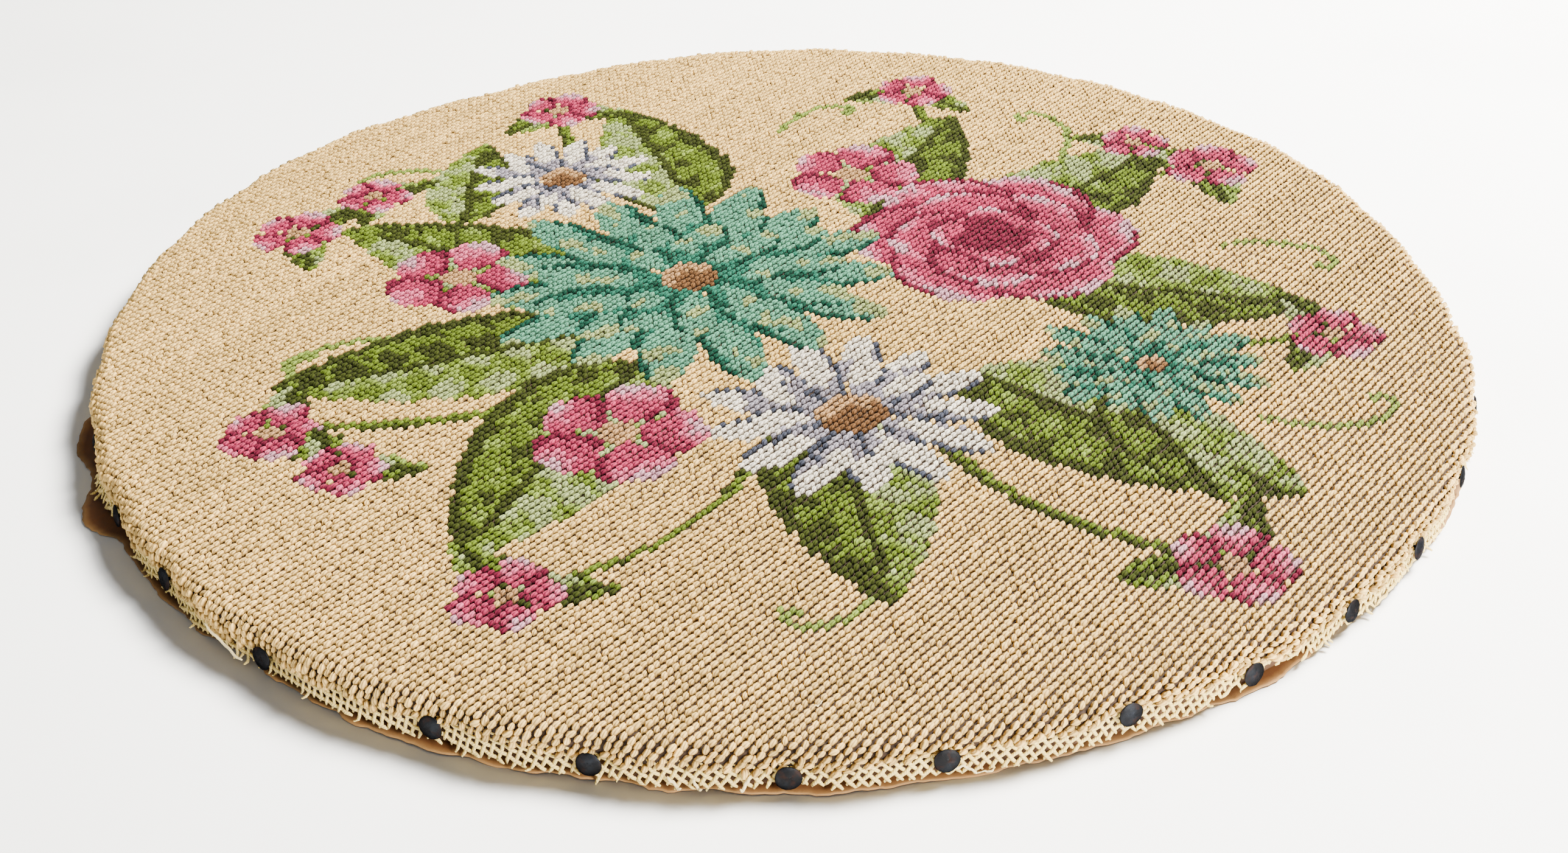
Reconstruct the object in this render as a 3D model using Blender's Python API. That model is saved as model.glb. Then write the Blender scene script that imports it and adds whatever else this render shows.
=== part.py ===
"""A round needlepoint panel: a worked canvas pulled over a flat wooden board and held round its
rim by steel tacks, with a sheet of brown paper under the board.

The pieces are the needlepoint with its bare canvas margin, the board, the backing paper and the
tacks. Lengths are in metres and +Z is up. The origin is the middle of the underside, the panel
lies on the plane z = 0, and angles run anticlockwise from +X, seen from above.
"""

import math

import bmesh
import bpy
from mathutils import Matrix, Vector

# Driving dimensions
CANVAS_PITCH = 0.00254  # ten canvas threads to the inch
STITCHES_ACROSS = 196  # over the worked top, from rim to rim
RIM_RADIUS = STITCHES_ACROSS * CANVAS_PITCH / 2
BOARD_THICKNESS = 0.0120
PAPER_THICKNESS = 0.0010
CLOTH_THICKNESS = 0.0027  # wool on both faces of the canvas
FIT_GAP = 0.0003  # left between pieces that touch
SHOULDER_RADIUS = 0.0060  # how softly the cloth turns over the board's edge
SHOULDER_STEPS = 4
UNDER_STEPS = 3  # in the smaller turns of the cloth's underside and the board's edge
GAP_STEPS = 4  # parts into which the cloth between two tacks is divided

# Heights that follow from them
BOARD_BOTTOM = PAPER_THICKNESS + FIT_GAP
BOARD_TOP = BOARD_BOTTOM + BOARD_THICKNESS
CLOTH_UNDERSIDE = BOARD_TOP + FIT_GAP
CLOTH_TOP = CLOTH_UNDERSIDE + CLOTH_THICKNESS
BOARD_INSET = CLOTH_THICKNESS + FIT_GAP  # from the cloth's outer face to the board's edge

# The bare margin of canvas below the last row of stitches
WORK_END = 0.0070  # height at which the stitching stops
MARGIN_STEP = 0.0012  # how far the thin canvas lies behind the face of the wool
MARGIN_FLARE = 0.0012  # how far the raw edge springs out again
STEP_DROP = 0.0005  # height taken by the step from wool to canvas
HEM_HEIGHT = 0.0018  # the raw edge, where it hangs lowest

# Tacks
TACK_HEAD_RADIUS = 0.0037
TACK_CROWN_RADIUS = 0.0013  # the flattish top of the dome
TACK_CROWN_HEIGHT = 0.0009
TACK_BROW_RADIUS = 0.0030
TACK_BROW_HEIGHT = 0.0006
TACK_RIM = 0.00025
TACK_SHANK_RADIUS = 0.0008
TACK_POINT_RADIUS = 0.00012
TACK_LENGTH = 0.0125
TACK_SIDES = 8
TACK_TILT = math.radians(8)  # the heads look up a little
TACK_SEAT = math.radians(1.0)  # half of the arc that a head presses flat
TACK_HOLE_PLAY = 0.0003  # between the shank and its hole, all round
# The tacks were driven by hand: angle in degrees and height of the middle of the head.
# The rest go round the back in even steps, near the middle of the board's edge.
FRONT_TACKS = [
    {"angle": -150.3, "height": 0.0068},
    {"angle": -140.0, "height": 0.0088},
    {"angle": -127.9, "height": 0.0071},
    {"angle": -113.4, "height": 0.0081},
    {"angle": -102.6, "height": 0.0069},
    {"angle": -90.1, "height": 0.0061},
    {"angle": -80.2, "height": 0.0078},
    {"angle": -67.7, "height": 0.0096},
    {"angle": -57.6, "height": 0.0061},
    {"angle": -47.5, "height": 0.0075},
    {"angle": -37.8, "height": 0.0074},
]
BACK_TACKS = 22
BACK_TACK_HEIGHT = BOARD_BOTTOM + BOARD_THICKNESS / 2

BULGE = 0.0011  # how far the cloth stands out between two tacks

# Where the outline leaves a true circle: angle, half width in degrees, change of radius
OUTLINE_CHANGES = [
    {"angle": 119, "half_width": 30, "change": -0.0070},
    {"angle": 7, "half_width": 26, "change": -0.0034},
    {"angle": 74, "half_width": 24, "change": 0.0014},
    {"angle": -105, "half_width": 60, "change": 0.0020},
]

# Where the raw edge of the canvas is drawn up: angle, half width in degrees, rise
HEM_LIFTS = [
    {"angle": -163, "half_width": 7, "rise": 0.0030},
    {"angle": -149, "half_width": 6, "rise": 0.0026},
    {"angle": -92, "half_width": 6, "rise": 0.0010},
    {"angle": -56, "half_width": 7, "rise": 0.0024},
    {"angle": -27, "half_width": 7, "rise": 0.0026},
    {"angle": 62, "half_width": 8, "rise": 0.0018},
    {"angle": 121, "half_width": 9, "rise": 0.0022},
]

# Where the torn backing paper sticks out: angle, half width in degrees, reach
PAPER_REACH = 0.0014  # past the tack line, all round
PAPER_TABS = [
    {"angle": -164, "half_width": 9, "reach": 0.0060},
    {"angle": -153.5, "half_width": 5.5, "reach": 0.0090},
    {"angle": -136, "half_width": 5, "reach": 0.0026},
    {"angle": -116, "half_width": 15, "reach": 0.0032},
    {"angle": -87, "half_width": 9, "reach": 0.0018},
    {"angle": -56, "half_width": 6, "reach": 0.0024},
    {"angle": -50, "half_width": 4, "reach": -0.0012},
    {"angle": -28, "half_width": 14, "reach": 0.0020},
    {"angle": 48, "half_width": 10, "reach": 0.0012},
    {"angle": 108, "half_width": 12, "reach": 0.0016},
]
PAPER_POINTS = 144
TEAR_DEPTH = 0.0006  # the small nicks along the torn edge
TEAR_WAVES = 23  # long and short waves round the edge, which multiply into uneven nicks
TEAR_NICKS = 61

SHARP_ANGLE = math.radians(50)  # edges steeper than this stay crisp

# Colours, roughness and metallic value of each material
FINISHES = {
    "needlepoint": ((0.68, 0.50, 0.32), 0.80, 0.0),
    "board": ((0.42, 0.24, 0.12), 0.70, 0.0),
    "backing_paper": ((0.46, 0.27, 0.12), 0.75, 0.0),
    "tack": ((0.035, 0.038, 0.045), 0.42, 0.85),
}


def clear_scene():
    for obj in list(bpy.data.objects):
        bpy.data.objects.remove(obj)


def tack_rows():
    """(angle in radians, height) of every tack, going round once from the first at the front."""
    first, last = FRONT_TACKS[0]["angle"], FRONT_TACKS[-1]["angle"]
    step = (first + 360 - last) / (BACK_TACKS + 1)
    front = [(math.radians(row["angle"]), row["height"]) for row in FRONT_TACKS]
    back = [(math.radians(last + step * (k + 1)), BACK_TACK_HEIGHT) for k in range(BACK_TACKS)]
    return front + back


def column_angles(tacks):
    """Angles of the cloth's columns: both ends of each tack's flat seat and three in each gap."""
    turns = [angle for angle, _ in tacks]
    columns = []
    for here, after in zip(turns, turns[1:] + [turns[0] + math.tau]):
        start, end = here + TACK_SEAT, after - TACK_SEAT
        columns += [start + (end - start) * k / GAP_STEPS for k in range(GAP_STEPS + 1)]
    return columns


def bump(angle, row):
    """A smooth hump, 1 at the row's angle and 0 past its half width."""
    away = math.degrees(angle) - row["angle"]
    away = (away + 180) % 360 - 180
    share = min(1.0, abs(away) / row["half_width"])
    return math.cos(share * math.pi / 2) ** 2


def rim_radius(angle):
    """The panel's outline at a tack, with the board's own unevenness."""
    return RIM_RADIUS + sum(row["change"] * bump(angle, row) for row in OUTLINE_CHANGES)


def bulge_share(angle, tacks):
    """0 on a tack's seat, rising smoothly to 1 midway between two tacks."""
    nearest = min(abs((angle - t + math.pi) % math.tau - math.pi) for t, _ in tacks)
    half_gap = math.pi / len(tacks)
    share = min(1.0, max(0.0, (nearest - TACK_SEAT) / (half_gap - TACK_SEAT)))
    return math.sin(share * math.pi / 2)


def hem_height(angle):
    """Height of the canvas's raw edge."""
    return HEM_HEIGHT + sum(row["rise"] * bump(angle, row) for row in HEM_LIFTS)


def quarter_turn(centre_radius, centre_height, radius, steps):
    """(distance from the axis, height) of points from the flat top down to the upright rim."""
    turns = [math.pi / 2 * k / steps for k in range(steps + 1)]
    return [(centre_radius + radius * math.sin(t), centre_height + radius * math.cos(t)) for t in turns]


def cloth_profile(angle, tacks):
    """The cloth's section at one angle, from the middle of its face, round the hem and back under it."""
    outer = rim_radius(angle) + BULGE * bulge_share(angle, tacks)
    hem = hem_height(angle)
    work_end = max(WORK_END, hem + MARGIN_STEP + STEP_DROP)
    centre_radius = outer - SHOULDER_RADIUS
    centre_height = CLOTH_TOP - SHOULDER_RADIUS
    inner_turn = SHOULDER_RADIUS - CLOTH_THICKNESS
    face = quarter_turn(centre_radius, centre_height, SHOULDER_RADIUS, SHOULDER_STEPS)
    margin = [
        (outer, work_end),
        (outer - MARGIN_STEP, work_end - STEP_DROP),
        (outer - MARGIN_STEP + MARGIN_FLARE, hem),
        (outer - CLOTH_THICKNESS, hem),
    ]
    under = quarter_turn(centre_radius, centre_height, inner_turn, UNDER_STEPS)
    return face + margin + under[::-1]


def mesh_object(name, shape, finish):
    """Turns a bmesh into an object with its own material."""
    bmesh.ops.recalc_face_normals(shape, faces=shape.faces)
    mesh = bpy.data.meshes.new(name)
    shape.to_mesh(mesh)
    shape.free()
    mesh.shade_smooth()
    mesh.set_sharp_from_angle(angle=SHARP_ANGLE)
    obj = bpy.data.objects.new(name, mesh)
    bpy.context.scene.collection.objects.link(obj)
    obj.data.materials.append(material(name, finish))
    return obj


def material(name, finish):
    colour, roughness, metallic = FINISHES[finish]
    made = bpy.data.materials.new(name)
    made.use_nodes = True
    shader = made.node_tree.nodes["Principled BSDF"]
    shader.inputs["Base Color"].default_value = (*colour, 1.0)
    shader.inputs["Roughness"].default_value = roughness
    shader.inputs["Metallic"].default_value = metallic
    return made


def point_at(angle, radius, height):
    return Vector((radius * math.cos(angle), radius * math.sin(angle), height))


def ringed_solid(angles, sections, top_height, bottom_height):
    """A closed bmesh of one section for each angle, joined to its neighbours.

    Each section runs from near the axis to near the axis again, and top_height and
    bottom_height are where the two middle points of the whole solid lie."""
    shape = bmesh.new()
    rings = [[shape.verts.new(point_at(a, r, z)) for r, z in s] for a, s in zip(angles, sections)]
    top = shape.verts.new((0, 0, top_height))
    bottom = shape.verts.new((0, 0, bottom_height))
    for here, after in zip(rings, rings[1:] + rings[:1]):
        shape.faces.new((top, here[0], after[0]))
        shape.faces.new((bottom, after[-1], here[-1]))
        for k in range(len(here) - 1):
            shape.faces.new((here[k], here[k + 1], after[k + 1], after[k]))
    bmesh.ops.triangulate(shape, faces=shape.faces)
    return shape


def build_needlepoint(tacks):
    angles = column_angles(tacks)
    sections = [cloth_profile(a, tacks) for a in angles]
    shape = ringed_solid(angles, sections, CLOTH_TOP, CLOTH_UNDERSIDE)
    return mesh_object("needlepoint", shape, "needlepoint")


def build_board(tacks):
    """The board follows the outline, and its top edge is eased where the cloth turns over it."""
    eased = SHOULDER_RADIUS - BOARD_INSET
    angles = column_angles(tacks)
    sections = []
    for angle in angles:
        radius = rim_radius(angle) - BOARD_INSET
        edge = quarter_turn(radius - eased, BOARD_TOP - eased, eased, UNDER_STEPS)
        sections.append(edge + [(radius, BOARD_BOTTOM)])
    shape = ringed_solid(angles, sections, BOARD_TOP, BOARD_BOTTOM)
    return mesh_object("board", shape, "board")


def paper_radius(angle):
    """The torn outline of the backing paper."""
    tabs = sum(row["reach"] * bump(angle, row) for row in PAPER_TABS)
    tear = math.sin(TEAR_WAVES * angle) * math.cos(TEAR_NICKS * angle)
    return rim_radius(angle) + PAPER_REACH + tabs + TEAR_DEPTH * tear


def build_paper():
    angles = [math.tau * k / PAPER_POINTS for k in range(PAPER_POINTS)]
    sections = [[(paper_radius(a), PAPER_THICKNESS), (paper_radius(a), 0.0)] for a in angles]
    shape = ringed_solid(angles, sections, PAPER_THICKNESS, 0.0)
    return mesh_object("backing_paper", shape, "backing_paper")


def turned_solid(profile, sides):
    """A closed bmesh turned about Z from (radius, height) rows, with a flat cap at each end."""
    shape = bmesh.new()
    turns = [math.tau * k / sides for k in range(sides)]
    rings = [[shape.verts.new(point_at(t, r, z)) for t in turns] for r, z in profile]
    for above, below in zip(rings, rings[1:]):
        for k in range(sides):
            after = (k + 1) % sides
            shape.faces.new((above[k], below[k], below[after], above[after]))
    shape.faces.new(rings[0])
    shape.faces.new(rings[-1][::-1])
    return shape


def tack_mesh():
    """A domed head with a tapered shank. Local +Z leaves the cloth and z = 0 is under the head."""
    profile = [
        (TACK_CROWN_RADIUS, TACK_CROWN_HEIGHT),
        (TACK_BROW_RADIUS, TACK_BROW_HEIGHT),
        (TACK_HEAD_RADIUS, TACK_RIM),
        (TACK_HEAD_RADIUS, 0.0),
        (TACK_SHANK_RADIUS, 0.0),
        (TACK_POINT_RADIUS, -TACK_LENGTH),
    ]
    shape = turned_solid(profile, TACK_SIDES)
    bmesh.ops.recalc_face_normals(shape, faces=shape.faces)
    mesh = bpy.data.meshes.new("tack")
    shape.to_mesh(mesh)
    shape.free()
    mesh.shade_smooth()
    mesh.set_sharp_from_angle(angle=SHARP_ANGLE)
    mesh.materials.append(material("tack", "tack"))
    return mesh


def tack_place(angle, height):
    """Puts local z = 0 just off the cloth, with +Z pointing out and a little up."""
    outward = Matrix.Rotation(angle, 4, "Z") @ Matrix.Rotation(math.pi / 2 - TACK_TILT, 4, "Y")
    stand_off = FIT_GAP + TACK_HEAD_RADIUS * math.sin(TACK_TILT)
    seat = point_at(angle, rim_radius(angle) + stand_off, height)
    return Matrix.Translation(seat) @ outward


def build_tacks(tacks):
    mesh = tack_mesh()
    for number, (angle, height) in enumerate(tacks, 1):
        tack = bpy.data.objects.new(f"tack_{number:02d}", mesh)
        bpy.context.scene.collection.objects.link(tack)
        tack.matrix_world = tack_place(angle, height)


def hole_cutter(tacks):
    """All the tack holes as one helper mesh, which shapes the cloth and the board."""
    holes = bmesh.new()
    profile = [
        (TACK_SHANK_RADIUS + TACK_HOLE_PLAY, TACK_HEAD_RADIUS),
        (TACK_SHANK_RADIUS + TACK_HOLE_PLAY, 0.0),
        (TACK_POINT_RADIUS + TACK_HOLE_PLAY, -TACK_LENGTH - TACK_HOLE_PLAY),
    ]
    for angle, height in tacks:
        hole = turned_solid(profile, TACK_SIDES)
        bmesh.ops.recalc_face_normals(hole, faces=hole.faces)
        hole.transform(tack_place(angle, height))
        copy = bpy.data.meshes.new("hole")
        hole.to_mesh(copy)
        hole.free()
        holes.from_mesh(copy)
        bpy.data.meshes.remove(copy)
    mesh = bpy.data.meshes.new("tack_holes")
    holes.to_mesh(mesh)
    holes.free()
    cutter = bpy.data.objects.new("tack_holes", mesh)
    bpy.context.scene.collection.objects.link(cutter)
    cutter.hide_render = True
    cutter.display_type = "WIRE"
    return cutter


def pierce(obj, cutter):
    cut = obj.modifiers.new("tack holes", "BOOLEAN")
    cut.operation = "DIFFERENCE"
    cut.solver = "EXACT"
    cut.object = cutter


def main():
    clear_scene()
    tacks = tack_rows()
    needlepoint = build_needlepoint(tacks)
    board = build_board(tacks)
    build_paper()
    build_tacks(tacks)
    cutter = hole_cutter(tacks)
    pierce(needlepoint, cutter)
    pierce(board, cutter)


main()
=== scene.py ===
# %% [markdown]
# # Dressing a round needlepoint panel
# A needlepoint is a stiff open canvas on which every crossing of two threads is covered by one slanting
# stitch of wool. This one is pulled over a flat round board and tacked to the board's edge.
# The frame that is loaded here holds the plain solids: board, cloth, backing paper and tacks. They give
# every size and place, so nothing is fitted by eye afterwards.

# %% Load the frame
import math

import bpy
import numpy as np
from mathutils import Matrix, Vector


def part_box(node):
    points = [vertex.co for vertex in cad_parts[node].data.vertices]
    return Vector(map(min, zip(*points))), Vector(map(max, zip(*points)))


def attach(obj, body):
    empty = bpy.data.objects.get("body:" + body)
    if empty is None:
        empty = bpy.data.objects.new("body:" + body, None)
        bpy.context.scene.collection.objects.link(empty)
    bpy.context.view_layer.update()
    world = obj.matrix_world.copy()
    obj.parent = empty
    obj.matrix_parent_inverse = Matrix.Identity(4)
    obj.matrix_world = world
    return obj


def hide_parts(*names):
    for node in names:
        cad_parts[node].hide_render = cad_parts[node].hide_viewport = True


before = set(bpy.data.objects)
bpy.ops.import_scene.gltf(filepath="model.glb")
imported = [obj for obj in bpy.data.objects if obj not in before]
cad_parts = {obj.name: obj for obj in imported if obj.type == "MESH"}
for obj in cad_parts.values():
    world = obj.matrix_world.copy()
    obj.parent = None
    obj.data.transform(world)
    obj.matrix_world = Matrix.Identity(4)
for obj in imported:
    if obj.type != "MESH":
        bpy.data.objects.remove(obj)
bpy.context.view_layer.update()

print("nodes in the frame:", len(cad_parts))

# %% [markdown]
# ## Sizes
# The canvas sets the scale of everything: ten threads to the inch. The wool stands about one and a half
# millimetres above it. All other sizes are read from the frame, so that the wool and the threads follow
# the uneven edge of the board, bulge between the tacks and dip at each of them.

# %% Canvas, wool and rim
PITCH = 0.00254
CANVAS_TURN = math.radians(51.44)
ALONG = np.array([math.cos(CANVAS_TURN), math.sin(CANVAS_TURN)])
ACROSS = np.array([-math.sin(CANVAS_TURN), math.cos(CANVAS_TURN)])
WOOL_HEIGHT = 0.0016
SHOULDER = 0.0060
BEND = SHOULDER - WOOL_HEIGHT
MID_WOOL = 0.0010
BEND_ARC = (BEND + MID_WOOL) * math.pi / 2
CLOTH_TOP = float(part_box("needlepoint")[1][2])
TURN_HEIGHT = CLOTH_TOP - SHOULDER
WORK_END = 0.0080
# A point of a solid further from the middle than this belongs to the rim.
WELL_OUT = 0.2
TACK_NAMES = sorted(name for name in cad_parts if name.startswith("tack_"))
print("cloth top", CLOTH_TOP, "tacks", len(TACK_NAMES))


# %% Read the rim from the frame
def node_points(name):
    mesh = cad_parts[name].data
    points = np.empty(len(mesh.vertices) * 3, np.float32)
    mesh.vertices.foreach_get("co", points)
    return points.reshape(-1, 3).astype(float)


def polar(points):
    return np.hypot(points[:, 0], points[:, 1]), np.arctan2(points[:, 1], points[:, 0])


def on_flat(away, turn):
    return np.stack([away * np.cos(turn), away * np.sin(turn)], axis=-1)


def grouped(turn, value, pick, near=1e-4):
    """One value for each angle: pick is np.maximum or np.minimum."""
    keys, index = np.unique(np.round(turn / near).astype(int), return_inverse=True)
    start = -np.inf if pick is np.maximum else np.inf
    best = np.full(len(keys), start)
    pick.at(best, index.ravel(), value)
    return keys * near, best


cloth = node_points("needlepoint")
cloth_radius, cloth_turn = polar(cloth)
at_shoulder = (np.abs(cloth[:, 2] - TURN_HEIGHT) < 0.0001) & (cloth_radius > WELL_OUT)
rim_turns, rim_radii = grouped(cloth_turn[at_shoulder], cloth_radius[at_shoulder], np.maximum)
column = np.array([np.abs(rim_turns - t).min() < 0.0002 for t in cloth_turn])
low = column & (cloth[:, 2] < 0.0055) & (cloth_radius > WELL_OUT)
hem_turns, hem_heights = grouped(cloth_turn[low], cloth[low, 2], np.minimum)


def rim_at(turn):
    return np.interp(turn, rim_turns, rim_radii, period=math.tau)


def hem_at(turn):
    return np.interp(turn, hem_turns, hem_heights, period=math.tau)


print("rim columns", len(rim_turns), "radius", rim_radii.min().round(4), rim_radii.max().round(4))


# %% Where each tack sits
TACK_TILT = math.radians(8)
TACK_CROWN = 0.0009
TACK_BITE = 0.0007


def tack_seat(name):
    """(middle of the underside of the head, direction out of the cloth, angle round the panel)."""
    points = node_points(name)
    turn = math.atan2(points[:, 1].mean(), points[:, 0].mean())
    flat = math.cos(TACK_TILT)
    out = np.array([math.cos(turn) * flat, math.sin(turn) * flat, math.sin(TACK_TILT)])
    reach = points @ out
    crown = points[reach > reach.max() - 0.00005].mean(axis=0)
    return crown - (TACK_CROWN + TACK_BITE) * out, out, turn


TACKS = [tack_seat(name) for name in TACK_NAMES]
tack_turns = np.array([turn for _, _, turn in TACKS])
print("first tack at", TACKS[0][0].round(4))

# %% [markdown]
# ## Camera, floor and light
# The lens and the height of the view come from the slant of the canvas grid in the picture. A plane of
# pale paint lies under the panel. One large soft lamp stands at the right, as a window would, and the
# pale world fills the shadows. White paint and wool differ more in the picture than one exposure can
# hold, so the floor has a lamp of its own, linked to it alone, whose shadow the panel still throws. A
# weaker lamp in front lights the near rim, and passes over the floor so as not to wash that shadow out.

# %% Camera
LENS_MM = 45.36
SENSOR_MM = 36.0
LOOK_DOWN = math.radians(32.57)
ROLL = math.radians(0.86)
VIEW_DISTANCE = 260.7 * PITCH
AIM = Vector((-0.08 * PITCH, -35.7 * PITCH, CLOTH_TOP))


def add_camera():
    ahead = Vector((0, math.cos(LOOK_DOWN), -math.sin(LOOK_DOWN)))
    level = Vector((1, 0, 0))
    upright = level.cross(ahead)
    right = level * math.cos(ROLL) - upright * math.sin(ROLL)
    up = level * math.sin(ROLL) + upright * math.cos(ROLL)
    data = bpy.data.cameras.new("camera")
    data.lens = LENS_MM
    data.sensor_width = SENSOR_MM
    camera = bpy.data.objects.new("camera", data)
    bpy.context.scene.collection.objects.link(camera)
    axes = Matrix((right, up, -ahead)).transposed().to_4x4()
    camera.matrix_world = Matrix.Translation(AIM - ahead * VIEW_DISTANCE) @ axes
    bpy.context.scene.camera = camera
    return camera


print("camera at", [round(x, 3) for x in add_camera().matrix_world.translation])


# %% Lamps and the pale world
def add_lamp(name, place, aim, size, watts, colour):
    data = bpy.data.lights.new(name, "AREA")
    data.shape = "DISK"
    data.size = size
    data.energy = watts
    data.color = colour
    lamp = bpy.data.objects.new(name, data)
    bpy.context.scene.collection.objects.link(lamp)
    lamp.location = place
    lamp.rotation_euler = (Vector(aim) - Vector(place)).to_track_quat("-Z", "Y").to_euler()
    return lamp


add_lamp("window", (1.16, 0.61, 1.40), (0.0, 0, 0), 0.55, 178, (1.0, 0.955, 0.86))
front_fill = add_lamp("front fill", (1.25, -1.45, 0.75), (0.05, -0.1, 0), 0.8, 132, (1.0, 0.97, 0.92))
floor_wash = add_lamp("floor wash", (0.84, 0.40, 1.08), (0.1, 0, 0), 0.75, 140, (1.0, 1.0, 0.99))

world = bpy.data.worlds.new("pale room")
bpy.context.scene.world = world
world.use_nodes = True
world.node_tree.nodes["Background"].inputs["Color"].default_value = (0.92, 0.96, 1.0, 1)
world.node_tree.nodes["Background"].inputs["Strength"].default_value = 0.26

# %% [markdown]
# ## Effects that several finishes share
# Wool, canvas and paper are all made of fibre, and steel and wood both wear. Each such effect is one
# shader node group with named sockets. The groups put out values and colours only: the shader itself
# stays in each material, where it is easy to see and to change.


# %% Helpers for shader nodes
def give(socket, value):
    """value is another node's socket, which is linked, or a number or colour, which is set."""
    if hasattr(value, "is_output"):
        socket.id_data.links.new(value, socket)
    else:
        socket.default_value = value


def settle(node, **values):
    """Gives values to a node's sockets by name, with _ for a space."""
    for label, value in values.items():
        give(node.inputs[label.replace("_", " ")], value)
    return node


def new_group(name, inputs, outputs):
    """An empty shader group. inputs and outputs are (name, socket kind, value or None)."""
    tree = bpy.data.node_groups.new(name, "ShaderNodeTree")
    for way, sockets in (("INPUT", inputs), ("OUTPUT", outputs)):
        for label, kind, value in sockets:
            socket = tree.interface.new_socket(label, in_out=way, socket_type=f"NodeSocket{kind}")
            if value is not None:
                socket.default_value = value
    return tree, tree.nodes.new("NodeGroupInput").outputs, tree.nodes.new("NodeGroupOutput")


def maths(tree, operation, *operands):
    """A Math node. Each operand is a socket or a number."""
    node = tree.nodes.new("ShaderNodeMath")
    node.operation = operation
    for socket, value in zip(node.inputs, operands):
        give(socket, value)
    return node.outputs[0]


def blend(tree, share, first, second, how="MIX"):
    """A colour Mix node. share, first and second are sockets, numbers or colours."""
    node = tree.nodes.new("ShaderNodeMix")
    node.data_type = "RGBA"
    node.blend_type = how
    inputs = {socket.identifier: socket for socket in node.inputs}
    for label, value in (("Factor_Float", share), ("A_Color", first), ("B_Color", second)):
        give(inputs[label], value)
    return next(s for s in node.outputs if s.identifier == "Result_Color")


def shade(tree, tone, colour):
    """A colour made darker or lighter by a grey tone."""
    grey = tree.nodes.new("ShaderNodeCombineColor")
    for socket in grey.inputs[:3]:
        give(socket, tone)
    return blend(tree, 1.0, colour, grey.outputs[0], "MULTIPLY")


def noise(tree, vector, scale, detail=3.0, rough=0.55):
    node = tree.nodes.new("ShaderNodeTexNoise")
    return settle(node, Vector=vector, Scale=scale, Detail=detail, Roughness=rough).outputs["Fac"]


def linear(code):
    """A colour written as six hex digits, in the linear values that shaders use."""
    parts = [int(code[k : k + 2], 16) / 255 for k in (0, 2, 4)]
    return tuple(p / 12.92 if p <= 0.04045 else ((p + 0.055) / 1.055) ** 2.4 for p in parts) + (1.0,)


# %% Group: plies twisted round each other
def twist_group():
    inputs = [("Strand", "Vector", None), ("Plies", "Float", 3.0), ("Turns", "Float", 1.5)]
    tree, given, put = new_group("Twisted plies", inputs, [("Height", "Float", None)])
    split = settle(tree.nodes.new("ShaderNodeSeparateXYZ"), Vector=given["Strand"])
    along = maths(tree, "MULTIPLY", split.outputs["X"], given["Turns"])
    around = maths(tree, "MULTIPLY", split.outputs["Y"], given["Plies"])
    wave = maths(tree, "SINE", maths(tree, "MULTIPLY", maths(tree, "ADD", along, around), math.pi))
    settle(put, Height=maths(tree, "ABSOLUTE", wave))
    return tree


# %% Group: fine loose fibre
def fibre_group():
    inputs = [("Place", "Vector", None), ("Fineness", "Float", 1.0)]
    outputs = [("Fibre", "Float", None), ("Patch", "Float", None)]
    tree, given, put = new_group("Loose fibre", inputs, outputs)
    scaled = tree.nodes.new("ShaderNodeVectorMath")
    scaled.operation = "SCALE"
    settle(scaled, Vector=given["Place"], Scale=given["Fineness"])
    fine = noise(tree, scaled.outputs[0], 2600, 4.0, 0.7)
    settle(put, Fibre=fine, Patch=noise(tree, scaled.outputs[0], 45))
    return tree


# %% Group: the colour of dyed fibre
def dye_and_shade_group():
    """Dye moves the whole strand lighter or darker. Ply darkens the creases between the plies and Crown
    darkens what lies low on the strand, both as painted shade.
    """
    inputs = [
        ("Colour", "Color", (0.5, 0.5, 0.5, 1)),
        ("Dye", "Float", 0.5),
        ("Crown", "Float", 1.0),
        ("Ply", "Float", 1.0),
        ("Fibre", "Float", 0.5),
        ("Depth tint", "Color", (0.1, 0.05, 0.03, 1)),
        ("Depth share", "Float", 0.6),
    ]
    outputs = [("Colour", "Color", None), ("Roughness", "Float", None)]
    tree, given, put = new_group("Dyed fibre with painted shade", inputs, outputs)
    lift = maths(tree, "MULTIPLY_ADD", given["Dye"], 0.60, 0.70)
    grain = maths(tree, "MULTIPLY_ADD", given["Fibre"], 0.5, 0.75)
    # Painted shade: the creases between plies and the low parts of the strand are darkened.
    ply = maths(tree, "MULTIPLY_ADD", given["Ply"], 0.34, 0.76)
    lit = shade(tree, maths(tree, "MULTIPLY", maths(tree, "MULTIPLY", lift, grain), ply), given["Colour"])
    low = maths(tree, "SUBTRACT", 1.0, given["Crown"])
    sunk = maths(tree, "MULTIPLY", low, given["Depth share"])
    deep = blend(tree, 1.0, lit, given["Depth tint"], "MULTIPLY")
    rough = maths(tree, "MULTIPLY_ADD", given["Fibre"], -0.25, 0.98)
    settle(put, Colour=blend(tree, sunk, lit, deep), Roughness=rough)
    return tree


# %% Group: rubbed and dusty places
def wear_group():
    inputs = [("Place", "Vector", None), ("Scale", "Float", 300.0), ("Amount", "Float", 0.5)]
    outputs = [("Mask", "Float", None), ("Grain", "Float", None)]
    tree, given, put = new_group("Wear", inputs, outputs)
    coarse = noise(tree, given["Place"], given["Scale"], 5.0, 0.5)
    edge = maths(tree, "SUBTRACT", 1.0, given["Amount"])
    past = maths(tree, "MULTIPLY", maths(tree, "SUBTRACT", coarse, edge), 6.0)
    clamped = maths(tree, "MINIMUM", maths(tree, "MAXIMUM", past, 0.0), 1.0)
    settle(put, Mask=clamped, Grain=noise(tree, given["Place"], 4000))
    return tree


TWIST, FIBRE, DYE_AND_SHADE, WEAR = twist_group(), fibre_group(), dye_and_shade_group(), wear_group()
print("groups:", [g.name for g in (TWIST, FIBRE, DYE_AND_SHADE, WEAR)])


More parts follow.
